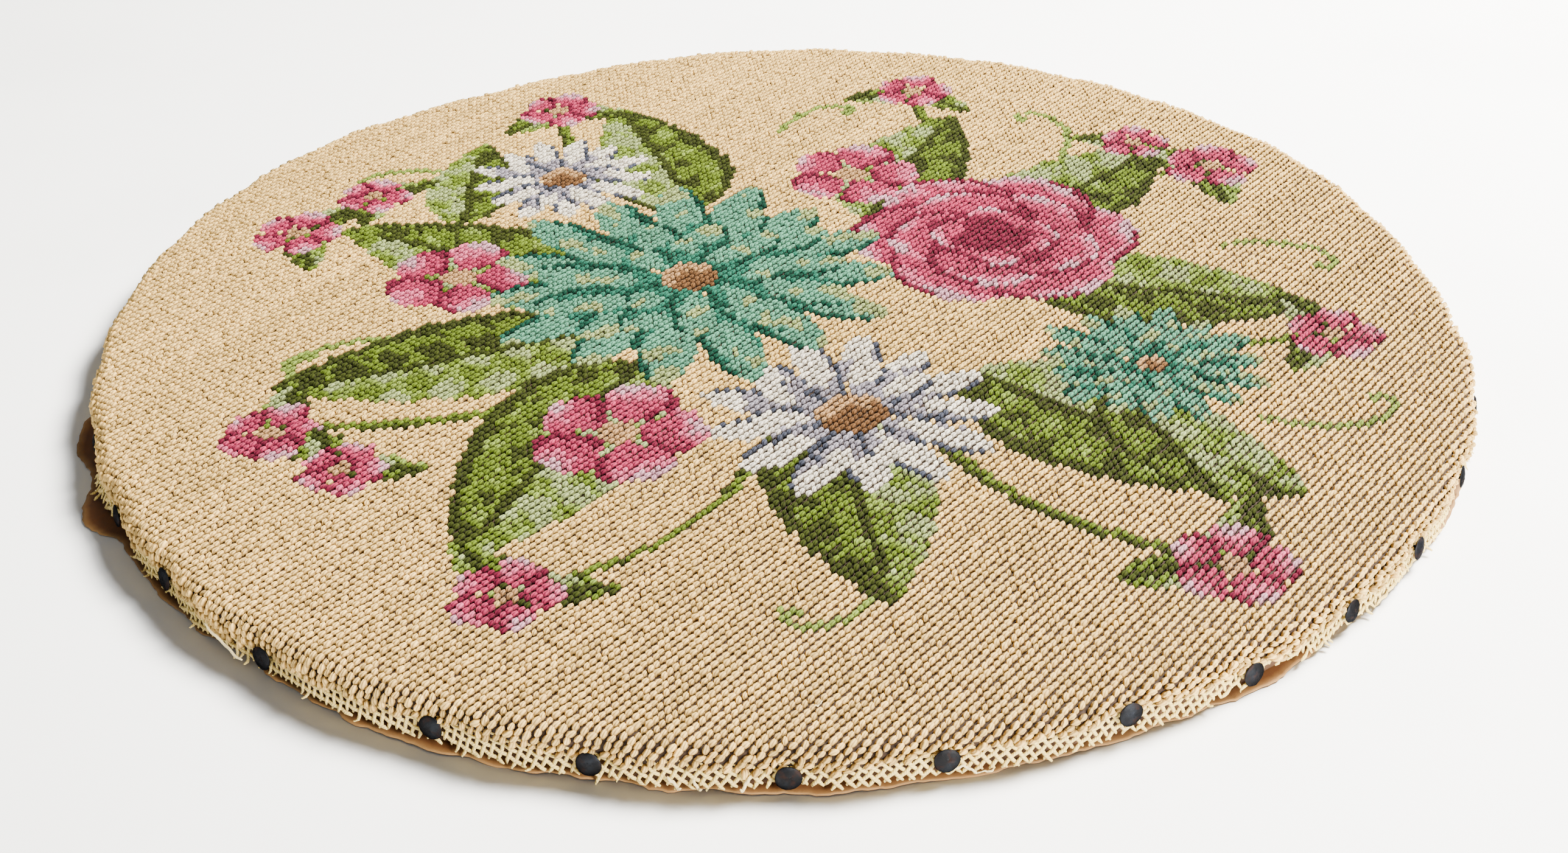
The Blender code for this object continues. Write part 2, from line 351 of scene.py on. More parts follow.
# %% Helpers that place a group in a material
def new_material(name):
    made = bpy.data.materials.new(name)
    made.use_nodes = True
    return made, made.node_tree, made.node_tree.nodes["Principled BSDF"]


def place_group(tree, group, **values):
    """Places a shader group, and returns what it puts out."""
    node = tree.nodes.new("ShaderNodeGroup")
    node.node_tree = group
    return settle(node, **values).outputs


def object_place(tree):
    return tree.nodes.new("ShaderNodeTexCoord").outputs["Object"]


def attribute(tree, name):
    node = tree.nodes.new("ShaderNodeAttribute")
    node.attribute_name = name
    return node.outputs["Fac"]


def twisted(tree, plies, turns, strand_map="Strand"):
    """The height of plies twisted along the strands of a piece."""
    strand = tree.nodes.new("ShaderNodeUVMap")
    strand.uv_map = strand_map
    return place_group(tree, TWIST, Strand=strand.outputs[0], Plies=plies, Turns=turns)["Height"]


def dye(tree, shader, **values):
    """Gives a shader the colour and roughness of dyed fibre, with painted shade in the ply creases and on
    the low parts of the strand.
    """
    dyed = place_group(tree, DYE_AND_SHADE, **values)
    settle(shader, Base_Color=dyed["Colour"], Roughness=dyed["Roughness"])


def bump(tree, height, shader, strength, distance):
    node = settle(tree.nodes.new("ShaderNodeBump"), Strength=strength, Distance=distance, Height=height)
    settle(shader, Normal=node.outputs["Normal"])


# %% [markdown]
# ## Floor
# A plain pale painted surface. It is staged, so it is no part of the panel.

# %% Floor
FLOOR_SIDE = 6.0


def add_floor():
    half = FLOOR_SIDE / 2
    mesh = bpy.data.meshes.new("floor")
    corners = [(-half, -half, 0), (half, -half, 0), (half, half, 0), (-half, half, 0)]
    mesh.from_pydata(corners, [], [(0, 1, 2, 3)])
    floor = bpy.data.objects.new("floor", mesh)
    bpy.context.scene.collection.objects.link(floor)
    material, tree, shader = new_material("pale paint")
    wear = place_group(tree, WEAR, Place=object_place(tree), Scale=6.0, Amount=0.5)
    tint = blend(tree, wear["Mask"], (0.83, 0.825, 0.805, 1), (0.79, 0.785, 0.765, 1))
    settle(shader, Base_Color=tint, Roughness=0.6)
    mesh.materials.append(material)
    return floor


floor = add_floor()
lit_alone = bpy.data.collections.new("lit by the floor wash")
lit_alone.objects.link(floor)
floor_wash.light_linking.receiver_collection = lit_alone
passed_over = bpy.data.collections.new("passed over by the front fill")
passed_over.objects.link(floor)
passed_over.collection_objects[0].light_linking.link_state = "EXCLUDE"
front_fill.light_linking.receiver_collection = passed_over


# %% [markdown]
# ## From flat canvas to stretched canvas
# Every stitch and thread is laid out on the flat canvas first, where the grid is even. One function then
# carries it over the panel: level on the face, round the shoulder and down the rim. So a row of stitches
# runs on over the edge without a break, which is how the real cloth goes. The helpers after it turn
# arrays of points into a piece, and build the thin disc with two sides that canvas and paper both are.


# %% Carry flat points over the panel
QUILT = 0.00022
DIMPLE_DEPTH = 0.0007
DIMPLE_TURN = math.radians(1.5)
DIMPLE_REACH = 0.0055
DIMPLE_PAST_FACE = 0.010
TACKED_BAND = 0.012
FLARE = 0.0011
FLARE_FROM = 0.0025
FLARE_OVER = 0.0060
KICK = 2.4
KICK_TURN = math.radians(-156)
KICK_SPAN = math.radians(3.5)


def quilt(x, y):
    """The slow swell of the face, which is never quite flat."""
    slow = np.sin(31 * x + 12 * y + 0.7) + np.sin(-17 * x + 38 * y + 2.1)
    return QUILT * (slow + 0.8 * np.sin(66 * x - 49 * y))


def tack_distance(turn):
    away = (turn[:, None] - tack_turns[None, :] + math.pi) % math.tau - math.pi
    return np.abs(away).min(axis=1)


def on_panel(flat, height):
    """flat is an (n, 2) array of canvas places and height an (n,) array, above the canvas."""
    along, turn = polar(flat)
    start = rim_at(turn) - SHOULDER
    over = np.clip((along - start) / BEND_ARC, 0, 1) * math.pi / 2
    down = np.maximum(0, along - start - BEND_ARC)
    near_tack = np.zeros(len(flat))
    edge = along > start - TACKED_BAND
    near_tack[edge] = np.exp(-((tack_distance(turn[edge]) / DIMPLE_TURN) ** 2))
    fade = np.exp(-(((along - start - DIMPLE_PAST_FACE) / DIMPLE_REACH) ** 2))
    lift = height - DIMPLE_DEPTH * near_tack * fade
    kick = 1 + KICK * np.exp(-(((turn - KICK_TURN) / KICK_SPAN) ** 2))
    spread = FLARE * kick * np.clip((down - FLARE_FROM) / FLARE_OVER, 0, 1.5) ** 1.5
    radius = np.minimum(along, start) + (BEND + lift) * np.sin(over) + spread
    z = TURN_HEIGHT + (BEND + lift) * np.cos(over) - down
    z = z + quilt(flat[:, 0], flat[:, 1]) * np.cos(over)
    return np.stack([radius * np.cos(turn), radius * np.sin(turn), z], axis=1)


def reach_at(turn, height):
    """How far from the middle of the flat canvas a point on the upright rim lies."""
    return rim_at(turn) - SHOULDER + BEND_ARC + TURN_HEIGHT - height


def over_shoulder(flat):
    """0 on the face, rising to 1 where the cloth turns down and the stitches are pulled about."""
    away, turn = polar(flat)
    return np.clip((away - rim_at(turn) + SHOULDER) / BEND_ARC, 0, 1)


print("canvas reach to the hem:", reach_at(rim_turns, hem_at(rim_turns)).mean().round(4))


# %% A mesh from arrays, and the piece it becomes
def mesh_piece(name, points, faces, material, maps=None, floats=None):
    """faces is an (n, 3) array, maps {name: (3n, 2) corners} and floats {name: a value a vertex}."""
    mesh = bpy.data.meshes.new(name)
    mesh.vertices.add(len(points))
    mesh.vertices.foreach_set("co", np.ascontiguousarray(points, np.float32).ravel())
    mesh.loops.add(faces.size)
    mesh.loops.foreach_set("vertex_index", np.ascontiguousarray(faces, np.int32).ravel())
    mesh.polygons.add(len(faces))
    mesh.polygons.foreach_set("loop_start", np.arange(0, faces.size, 3, dtype=np.int32))
    mesh.update(calc_edges=True)
    for label, corners in (maps or {}).items():
        layer = mesh.uv_layers.new(name=label)
        layer.data.foreach_set("uv", np.ascontiguousarray(corners, np.float32).ravel())
    for label, values in (floats or {}).items():
        made = mesh.attributes.new(label, "FLOAT", "POINT")
        made.data.foreach_set("value", np.ascontiguousarray(values, np.float32))
    mesh.shade_smooth()
    mesh.materials.append(material)
    piece = bpy.data.objects.new(name, mesh)
    bpy.context.scene.collection.objects.link(piece)
    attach(piece, "root")
    return piece


# %% A disc with an upper and a lower side
def disc_plan(radii, turns):
    """The middle of a disc, then its rings of points from the inside out."""
    return np.concatenate([np.zeros((1, 2))] + [on_flat(radius, turns) for radius in radii])


def disc_faces(around, rings):
    """Triangles of the first side, of the other side with its points after the first's, and of the edge."""
    here = np.arange(around)
    after = (here + 1) % around
    faces = [np.stack([0 * here, 1 + here, 1 + after], axis=1)]
    for k in range(rings - 1):
        a, b = 1 + k * around, 1 + (k + 1) * around
        faces.append(np.stack([a + here, b + here, b + after], axis=1))
        faces.append(np.stack([a + here, b + after, a + after], axis=1))
    side = np.concatenate(faces)
    shift = 1 + rings * around
    rim = shift - around
    edge = [
        np.stack([rim + here, rim + here + shift, rim + after + shift], axis=1),
        np.stack([rim + here, rim + after + shift, rim + after], axis=1),
    ]
    return np.concatenate([side, side[:, ::-1] + shift] + edge)


print("a disc of 6 points and 2 rings has", len(disc_faces(6, 2)), "faces")

# %% [markdown]
# ## The canvas under the wool
# A thin sheet carries the stitches. Little of it shows: only its shade, deep between the stitches, so
# it is given the brown of shadowed wool and the weave of the canvas. It ends where the stitches end, and
# the bare margin below is made of real threads, because there one can look through the holes.

# %% Build the canvas sheet
SHEET_THICKNESS = 0.0007
SHEET_RISE = 0.00015
SHEET_TURNS = 240
FACE_RINGS = 9
EDGE_RINGS = 9
SHEET_SHORT = 0.0008


def painted_shade_weave_material():
    material, tree, shader = new_material("canvas under wool as painted shade")
    fibre = place_group(tree, FIBRE, Place=object_place(tree), Fineness=0.6)["Fibre"]
    ply = twisted(tree, 1.0, 1.0, "Weave")
    # The dark brown is painted shade, the shadowed wool deep between the stitches, and the shade share
    # darkens it further.
    dye(tree, shader, Colour=linear("3C2612"), Ply=ply, Fibre=fibre, Crown=0.35, Depth_share=0.5)
    bump(tree, ply, shader, 0.5, 0.0002)
    return material


def work_limit(turn):
    """Height on the rim at which the stitching stops. It wanders by a stitch or so."""
    wander = np.sin(9 * turn + 0.4) + 0.7 * np.sin(23 * turn + 1.9) + 0.5 * np.sin(47 * turn)
    return WORK_END + 0.0007 * wander


def build_sheet():
    turns = np.arange(SHEET_TURNS) * math.tau / SHEET_TURNS
    start = rim_at(turns) - SHOULDER
    end = reach_at(turns, work_limit(turns)) - SHEET_SHORT
    face = [start * k / FACE_RINGS for k in range(1, FACE_RINGS + 1)]
    edge = [start + (end - start) * k / EDGE_RINGS for k in range(1, EDGE_RINGS + 1)]
    flat = disc_plan(face + edge, turns)
    faces = disc_faces(SHEET_TURNS, FACE_RINGS + EDGE_RINGS)
    heights = (SHEET_RISE, SHEET_RISE - SHEET_THICKNESS)
    points = np.concatenate([on_panel(flat, np.full(len(flat), height)) for height in heights])
    weave = np.stack([flat @ ALONG, flat @ ACROSS], axis=1) / PITCH
    weave = np.concatenate([weave, weave])[faces].reshape(-1, 2)
    return mesh_piece("canvas_ground", points, faces, painted_shade_weave_material(), {"Weave": weave})


canvas = build_sheet()
print("canvas faces:", len(canvas.data.polygons))

# %% [markdown]
# ## The chart
# A needlepoint is worked from a chart: one square of the chart is one stitch. The stitches are listed
# first, by their row and column, and the chart then says which wool each of them takes. The ground wool
# is everywhere, and the flowers are painted over it from the back to the front.

# %% List the stitches
rng = np.random.default_rng(11)
HALF_GRID = 106
MISSED_STITCH = on_flat(0.2539, math.radians(-87.6))
UNEVEN_END = 0.0005
grid = np.arange(-HALF_GRID, HALF_GRID + 1)
cols, rows = [a.ravel() for a in np.meshgrid(grid, grid, indexing="ij")]
places = (cols[:, None] * ALONG + rows[:, None] * ACROSS) * PITCH
place_away, place_turn = polar(places)
limit = reach_at(place_turn, work_limit(place_turn)) + rng.normal(0, UNEVEN_END, len(places))
skipped = np.hypot(*(places - MISSED_STITCH).T) < 0.6 * PITCH
kept = (place_away < limit) & ~skipped
cols, rows, places = cols[kept], rows[kept], places[kept]
print("stitches:", len(places))

# %% The wools
YARNS = {
    "ground": "E1BB70",
    "teal_dark": "06382A",
    "teal": "1C5F4C",
    "teal_light": "4F8A70",
    "sage": "8B9A62",
    "olive_dark": "2E360C",
    "olive": "566A18",
    "moss": "748A36",
    "burgundy": "63102C",
    "magenta": "A02E50",
    "pink": "C45A78",
    "mauve": "BB8A9A",
    "slate": "3B3F4D",
    "grey": "8C8793",
    "ivory": "DED7C8",
    "brown": "654528",
    "tan": "A98257",
}
YARN_NAMES = list(YARNS)
YARN = {name: number for number, name in enumerate(YARN_NAMES)}
chart_x, chart_y = places[:, 0] / PITCH, places[:, 1] / PITCH
chart = np.zeros(len(places), int)
speckle = rng.random(len(places))
print("wools:", len(YARNS))


# %% Paint with the wools
def drift(x, y):
    """Patches a few stitches wide, from -1 to 1, as a hand-drawn chart has them."""
    return 0.5 * (np.sin(0.83 * x + 0.41 * y + np.sin(0.37 * y)) + np.sin(0.29 * x - 0.77 * y + 1.7))


patches = drift(chart_x, chart_y)


def paint(inside, tone, wools):
    """tone runs from 0, the first wool, to 1, the last. Patches and a little speckle break it up."""
    shade = np.clip(tone + 0.11 * patches + 0.10 * (speckle - 0.5), 0, 0.9999)
    chosen = np.array([YARN[w] for w in wools])[(shade * len(wools)).astype(int)]
    chart[inside] = chosen[inside]


def seen_from(x, y, turn):
    """Distance from (x, y), and places along and across the direction turn."""
    dx, dy = chart_x - x, chart_y - y
    c, s = math.cos(turn), math.sin(turn)
    return np.hypot(dx, dy), dx * c + dy * s, dy * c - dx * s


# %% A leaf
LEAF_WOOLS = ["olive_dark", "olive", "olive", "moss", "sage"]


def leaf(x, y, degrees, length, width, bend=0.0, lit=0.0):
    """A broad leaf with a dark side, a light side, side veins and a toothed edge."""
    _, a, b = seen_from(x, y, math.radians(degrees))
    share = np.clip(a / length, 0, 1)
    b = b - bend * length * share**2
    teeth = 1 + 0.07 * (((a + 2.5) % 5.0) / 5.0)
    half = width / 2 * np.sin(math.pi * share**0.72) ** 0.75 * teeth
    across = b / np.maximum(half, 0.1)
    inside = (a > 0) & (a < length) & (np.abs(across) < 1)
    vein = (a - 0.9 * np.abs(b)) % 7.0 < 1.2
    tone = 0.56 + lit + 0.24 * np.sign(b) * (np.abs(across) > 0.10) - 0.25 * vein
    tone = tone + 0.20 * patches - 0.30 * (share > 0.86) - 0.12 * (share < 0.12)
    paint(inside, tone, LEAF_WOOLS)
    paint(inside & (np.abs(b) < 0.7) & (share < 0.88), 0 * tone, ["olive_dark"])
    paint(inside & (across < -0.80), 0 * tone, ["olive_dark"])


# %% One petal, and the flowers made of petals
TEALS = ["teal_dark", "teal", "teal", "teal_light", "teal_light", "sage"]
REDS = ["burgundy", "burgundy", "burgundy", "magenta", "magenta", "pink", "mauve"]
PINKS = ["burgundy", "magenta", "magenta", "pink", "mauve"]
PALES = ["slate", "grey", "grey", "ivory", "ivory", "ivory"]


def petal(x, y, turn, start, end, width, wools, lit=0.0):
    """A petal that is dark at its base and along one side, and light towards its tip."""
    _, a, b = seen_from(x, y, turn)
    share = np.clip((a - start) / (end - start), 0, 1)
    half = width / 2 * np.sin(math.pi * share**1.55) ** 0.62
    across = b / np.maximum(half, 0.1)
    inside = (a > start) & (a < end) & (np.abs(across) < 1)
    tone = 0.08 + lit + 0.88 * share + 0.16 * across - 0.22 * across**2
    paint(inside, tone, wools)
    paint(inside & (across < -0.72) & (share < 0.93), 0 * tone, [wools[0]])


def rounds(x, y, radius, rings, wools, spread=1.0):
    """Petals in rounds, the widest first. rings holds (share of the radius, petals)."""
    for number, (share, petals) in enumerate(rings):
        reach = radius * share
        width = spread * math.tau * 0.62 * reach / petals
        for k in range(petals):
            turn = math.tau * (k + 0.5 * (number % 2)) / petals + 0.4 * number
            uneven = 1 + 0.05 * math.sin(2.3 * k + number)
            petal(x, y, turn, reach * 0.16, reach * uneven, width, wools, 0.07 * math.sin(1.9 * k))


def eye(x, y, radius):
    away, a, b = seen_from(x, y, 0.6)
    paint(away < radius, 0.55 + 0.45 * b / radius, ["brown", "tan"])
    paint(away < radius * 0.4, 0 * away, ["brown"])


def dahlia(x, y, radius):
    rounds(x, y, radius, [(1.0, 15), (0.80, 13), (0.60, 11), (0.41, 8)], TEALS)
    eye(x, y, radius * 0.14)


def daisy(x, y, radius):
    rounds(x, y, radius, [(1.0, 13), (0.70, 10)], PALES, 0.95)
    eye(x, y, radius * 0.24)


def blossom(x, y, radius):
    rounds(x, y, radius, [(1.0, 5)], PINKS, 1.15)
    away, _, _ = seen_from(x, y, 0)
    paint(away < radius * 0.24, 0 * away, ["tan"])


def rose(x, y, radius):
    """Round petals laid over each other towards a dark heart."""
    for number, (out, size, petals) in enumerate(((0.50, 0.52, 6), (0.34, 0.42, 5), (0.17, 0.28, 4))):
        for k in range(petals):
            turn = math.tau * k / petals + 0.7 * number
            px, py = x + radius * out * math.cos(turn), y + radius * out * math.sin(turn)
            away, a, b = seen_from(px, py, turn)
            inside = away < radius * size
            tone = 0.30 + 0.42 * a / (radius * size) + 0.30 * (away / (radius * size)) ** 2
            paint(inside, tone, REDS)
            paint(inside & (away > radius * size - 1.1) & (b < 0), 0 * tone, ["burgundy"])
    away, a, _ = seen_from(x, y, 0.9)
    paint(away < radius * 0.16, 0.3 + 0.3 * a / radius, ["burgundy", "magenta"])


# %% Stems and tendrils
square = np.full((2 * HALF_GRID + 1, 2 * HALF_GRID + 1), -1)
square[cols + HALF_GRID, rows + HALF_GRID] = np.arange(len(places))


def line(points, wool):
    """Works the stitches that a drawn line passes over."""
    fine = np.concatenate([np.linspace(p, q, 24) for p, q in zip(points, points[1:])])
    i = np.round(fine @ ALONG).astype(int) + HALF_GRID
    j = np.round(fine @ ACROSS).astype(int) + HALF_GRID
    found = square[i, j]
    chart[found[found >= 0]] = YARN[wool]


def stem(start, end, bow, wools=("olive_dark", "olive")):
    """A bowed stem, as many stitches thick as it has wools."""
    share = np.linspace(0, 1, 30)[:, None]
    start, end = np.array(start, float), np.array(end, float)
    normal = np.array([start[1] - end[1], end[0] - start[0]]) * bow
    for k, wool in enumerate(wools):
        track = start + (end - start) * share + normal * 4 * share * (1 - share)
        line(track + np.array([0.7, 0.5]) * k, wool)


def tendril(x, y, degrees, size, hand):
    """A shoot that ends in a curl."""
    steps = np.linspace(0, 1, 30)
    course = math.radians(degrees) + hand * (0.4 * np.sin(5 * steps) + 6.5 * steps**2.8)
    stride = size / 30 * (1.9 - 1.5 * steps)
    track = np.cumsum(np.stack([np.cos(course), np.sin(course)], axis=1) * stride[:, None], axis=0)
    line(track + np.array([x, y]), "moss")


def sprig(x, y, degrees, size):
    """A small blossom on its cup, with a leaf at either side."""
    for spread in (-1, 1):
        leaf(x, y, degrees + 180 + 55 * spread, size * 1.9, size * 0.9, 0.1 * spread)
    blossom(x, y, size)


# %% [markdown]
# ## A posy for the middle
# Two teal dahlias, a rose and two daisies lie over broad leaves, and small blossoms run out to the edge
# on bowed stems. Every motif is one row: what it is, where it stands and how large it is, all counted in
# stitches from the middle of the panel. Rows further down lie over the rows above them.

# %% Lay out the posy
STEMS = [
    ((-20, -20), (-66, -34), 0.10),
    ((-30, 10), (-74, 22), -0.12),
    ((-20, 30), (-38, 68), 0.12),
    ((20, 25), (22, 74), -0.10),
    ((35, 20), (70, 42), 0.10),
    ((45, -10), (77, -12), -0.14),
    ((20, -40), (52, -66), -0.12),
    ((-5, -45), (-32, -70), 0.12),
]
LEAVES = [
    (-24, 2, 150, 50, 23, 0.06, 0.05),
    (-26, -8, 205, 47, 22, -0.08, -0.05),
    (-20, -18, 243, 50, 24, 0.08, 0.10),
    (4, -30, 285, 44, 22, -0.08, 0.00),
    (26, -22, 318, 50, 25, 0.07, 0.08),
    (36, 4, 352, 42, 21, -0.06, -0.06),
    (30, 20, 38, 46, 22, 0.08, 0.05),
    (14, 26, 72, 42, 20, -0.08, 0.00),
    (-14, 30, 106, 42, 20, 0.08, 0.08),
    (46, -26, 282, 30, 14, 0.10, 0.00),
    (-50, 26, 96, 30, 14, -0.10, 0.05),
]
SPRIGS = [
    (-68, -35, 205, 7),
    (-57, -44, 240, 6),
    (-76, 23, 170, 7),
    (-66, 36, 150, 6),
    (-39, 70, 110, 7),
    (24, 76, 75, 7),
    (71, 43, 30, 8),
    (60, 53, 50, 6),
    (78, -13, -10, 7),
    (53, -67, -50, 8),
    (-33, -71, 245, 7),
]
TENDRILS = [
    (-46, -24, 200, 30, -1),
    (-48, 40, 140, 26, 1),
    (0, 58, 80, 20, -1),
    (46, 46, 60, 24, 1),
    (66, 14, 20, 22, -1),
    (62, -34, -30, 24, 1),
    (12, -66, 260, 20, -1),
    (-54, -10, 180, 22, 1),
]
FLOWERS = [
    (dahlia, 51, -20, 16),
    (blossom, -49, 8, 11),
    (blossom, 12, 42, 11),
    (daisy, -36, 42, 15),
    (rose, 33, 19, 22),
    (daisy, 9, -32, 20),
    (blossom, -22, -36, 12),
    (dahlia, -14, 7, 31),
]


def work_posy():
    for start, end, bow in STEMS:
        stem(start, end, bow)
    for row in TENDRILS:
        tendril(*row)
    for row in LEAVES:
        leaf(*row)
    for row in SPRIGS:
        sprig(*row)
    for flower, *place_and_size in FLOWERS:
        flower(*place_and_size)


work_posy()
print("stitches of each wool:", {n: int((chart == k).sum()) for n, k in YARN.items()})

# %% [markdown]
# ## The stitches
# One stitch is a short plump bridge of wool: it comes up through a hole, crosses one pair of canvas
# threads on the slant, and goes down again. So it is narrow and low at both ends and widest in the
# middle, where it fills the room that its neighbours leave. Each is a little different, as hand work is.

# %% The shape of one stitch
STITCH_LENGTH = PITCH * math.sqrt(2)
RING_ALONG = np.array([-0.25, 0.0, 0.255])
RING_HALF_WIDTH = np.array([0.00090, 0.00112, 0.00090])
RING_TOP = np.array([0.00122, 0.00165, 0.00134])
RING_LOW = np.array([0.00042, 0.00072, 0.00047])
TIP_ALONG = 0.475
TIP_HEIGHT = -0.00015
SIDE_WIDTHS = np.array([-1.24, -0.73, 0.73, 1.24])
STITCH_LEAN = math.radians(40)
SHEAR = math.radians(24)


def stitch_template():
    """(along, half width, height) of the 14 points, the 24 faces, and a map place for each corner of the
    faces.
    """
    along = np.concatenate([[-TIP_ALONG], np.repeat(RING_ALONG, 4), [TIP_ALONG]]) * STITCH_LENGTH
    width = np.concatenate([[0], (RING_HALF_WIDTH[:, None] * SIDE_WIDTHS).ravel(), [0]])
    tops = np.tile([0, 1, 1, 0], 3)
    height = np.where(tops, np.repeat(RING_TOP, 4), np.repeat(RING_LOW, 4))
    height = np.concatenate([[TIP_HEIGHT], height, [TIP_HEIGHT]])
    faces, maps = [], []
    ring_u = [0.25, 0.52, 0.78]
    for k in range(4):
        after = (k + 1) % 4
        v0, v1 = k / 4, (k + 1) / 4
        faces.append((0, 1 + k, 1 + after))
        maps.append([(0, (v0 + v1) / 2), (ring_u[0], v0), (ring_u[0], v1)])
        for ring in (0, 1):
            a, b = 1 + 4 * ring, 5 + 4 * ring
            u0, u1 = ring_u[ring], ring_u[ring + 1]
            faces.append((a + k, b + k, b + after))
            maps.append([(u0, v0), (u1, v0), (u1, v1)])
            faces.append((a + k, b + after, a + after))
            maps.append([(u0, v0), (u1, v1), (u0, v1)])
        faces.append((9 + k, 13, 9 + after))
        maps.append([(ring_u[2], v0), (1, (v0 + v1) / 2), (ring_u[2], v1)])
    return along, width, height, np.array(faces), np.array(maps).reshape(-1, 2)


STITCH_ALONG, STITCH_ACROSS, STITCH_UP, STITCH_FACES, STITCH_MAP = stitch_template()
print("one stitch:", len(STITCH_UP), "points,", len(STITCH_FACES), "faces")


# %% Dye lots
def dye_of_rows():
    """Rows were worked with different lengths of wool, so the shade changes along a row."""
    span = 2 * HALF_GRID + 1
    length = rng.integers(14, 60, span)
    offset = rng.integers(0, 60, span)
    lots = rng.normal(0, 1, (span, 40))
    row = rows + HALF_GRID
    run = (cols + HALF_GRID + offset[row]) // length[row]
    slow = np.repeat(rng.normal(0, 1, span // 7 + 2), 7)[:span]
    uneven = rng.normal(0, 0.15, len(rows)) * (1 + over_shoulder(places))
    return 0.5 + 0.10 * lots[row, run] + 0.06 * slow[row] + uneven


# About one stitch in twenty is made lighter as a painted highlight, a glint on its wool; the rest of the
# spread is dye.
PAINTED_GLINT_SHARE = 0.05
painted_glint = rng.random(len(places)) < PAINTED_GLINT_SHARE
stitch_dye_and_glint = np.clip(dye_of_rows() + 0.40 * painted_glint, 0, 1.1)
print("dye from", stitch_dye_and_glint.min().round(2), "to", stitch_dye_and_glint.max().round(2))


# %% Wool
WOOL_PLIES = 3.0
WOOL_TURNS = 2.0


def wool(name, colour):
    material, tree, shader = new_material(f"wool {name}")
    twist = twisted(tree, WOOL_PLIES, WOOL_TURNS)
    fibre = place_group(tree, FIBRE, Place=object_place(tree), Fineness=1.0)["Fibre"]
    dye(
        tree,
        shader,
        Colour=colour,
        # The dye attribute holds the dye lots and the painted glints.
        Dye=attribute(tree, "dye"),
        Crown=attribute(tree, "crown"),
        Ply=twist,
        Fibre=fibre,
        # Painted shade: the low ends and sides of each stitch, deep between its neighbours, are tinted dark
        # brown.
        Depth_tint=(0.30, 0.22, 0.14, 1),
        Depth_share=0.95,
    )
    settle(shader, Specular_IOR_Level=0.1, Sheen_Weight=0.02, Sheen_Roughness=0.5)
    settle(shader, Sheen_Tint=(1.0, 0.86, 0.66, 1))
    bump(tree, maths(tree, "MULTIPLY_ADD", fibre, 0.6, twist), shader, 0.8, 0.00030)
    return material


# %% Work the stitches
MOST_STITCHES = 8000
STITCH_SHIFT = 0.00009
LEAN_SPREAD = math.radians(6)
PLUMP_SPREAD = 0.10
SPAN_SPREAD = 0.04
TALL_SPREAD = 0.13


def heading(turn):
    """Flat direction at an angle from the canvas threads that run along."""
    return np.cos(turn)[:, None] * ALONG + np.sin(turn)[:, None] * ACROSS


def stitch_points(picked):
    """Points of many stitches at once, each a little turned, shifted and plumped."""
    count = len(picked)
    loose = over_shoulder(places[picked])
    middle = places[picked] + rng.normal(0, STITCH_SHIFT, (count, 2)) * (1 + 1.8 * loose[:, None])
    lean = STITCH_LEAN + rng.normal(0, LEAN_SPREAD, count) * (1 + 2.0 * loose)
    plump = (1 + 0.20 * loose[:, None]) * (1 + rng.normal(0, PLUMP_SPREAD, (count, 1)))
    span = 1 - 0.13 * loose[:, None] + rng.normal(0, SPAN_SPREAD, (count, 1)) * (1 + loose[:, None])
    tall = 1 + rng.normal(0, TALL_SPREAD, (count, 1)) * (1 + 0.7 * loose[:, None])
    ahead = heading(lean)
    side = heading(lean + math.pi / 2 + SHEAR)
    flat = middle[:, None, :] + (STITCH_ALONG * span)[:, :, None] * ahead[:, None, :]
    flat = flat + (STITCH_ACROSS * plump)[:, :, None] * side[:, None, :]
    up = np.where(STITCH_UP > 0.0005, STITCH_UP * tall, STITCH_UP)
    return on_panel(flat.reshape(-1, 2), up.ravel())


def page_map(count):
    """A place of its own for each stitch on one page, so that its colours can be kept as a picture."""
    side = math.ceil(math.sqrt(count))
    number = np.arange(count)
    corner = np.stack([number % side, number // side], axis=1)
    inner = 0.06 + 0.88 * STITCH_MAP
    return ((corner[:, None, :] + inner[None, :, :]) / side).reshape(-1, 2)


def work_stitches(name, picked, material):
    points = stitch_points(picked)
    count = len(picked)
    step = (np.arange(count) * len(STITCH_UP))[:, None, None]
    faces = (STITCH_FACES[None] + step).reshape(-1, 3)
    # How high each point stands, which the wool uses to paint shade on the low points.
    crown = np.clip(STITCH_UP / RING_TOP[1], 0, 1)
    floats = {"dye": np.repeat(stitch_dye_and_glint[picked], len(STITCH_UP)), "crown": np.tile(crown, count)}
    maps = {"Strand": np.tile(STITCH_MAP, (count, 1)), "OFBake": page_map(count)}
    return mesh_piece(name, points, faces, material, maps, floats)


def work_wool(name):
    """All stitches of one wool, in as many pieces as keep each piece small."""
    picked = np.flatnonzero(chart == YARN[name])
    picked = picked[np.lexsort((cols[picked], rows[picked]))]
    parts = max(1, math.ceil(len(picked) / MOST_STITCHES))
    material = wool(name, linear(YARNS[name]))
    pieces = []
    for k, part in enumerate(np.array_split(picked, parts), 1):
        label = f"stitches_{name}" if parts == 1 else f"stitches_{name}_{k}"
        pieces.append(work_stitches(label, part, material))
    return pieces


stitches = [piece for name in YARN_NAMES if (chart == YARN[name]).any() for piece in work_wool(name)]
print("stitch pieces:", len(stitches), "faces:", sum(len(p.data.polygons) for p in stitches))

# %% [markdown]
# ## The bare margin
# Below the last stitches the canvas is bare: stiff cream threads, each passing over one crossing thread
# and under the next. A flat sheet with a picture of a weave would not do, because here the holes show
# the dark edge of the board, and the cut ends stand out one by one. So every thread is a tube of its
# own, laid by its flat place and its height above or below the canvas.


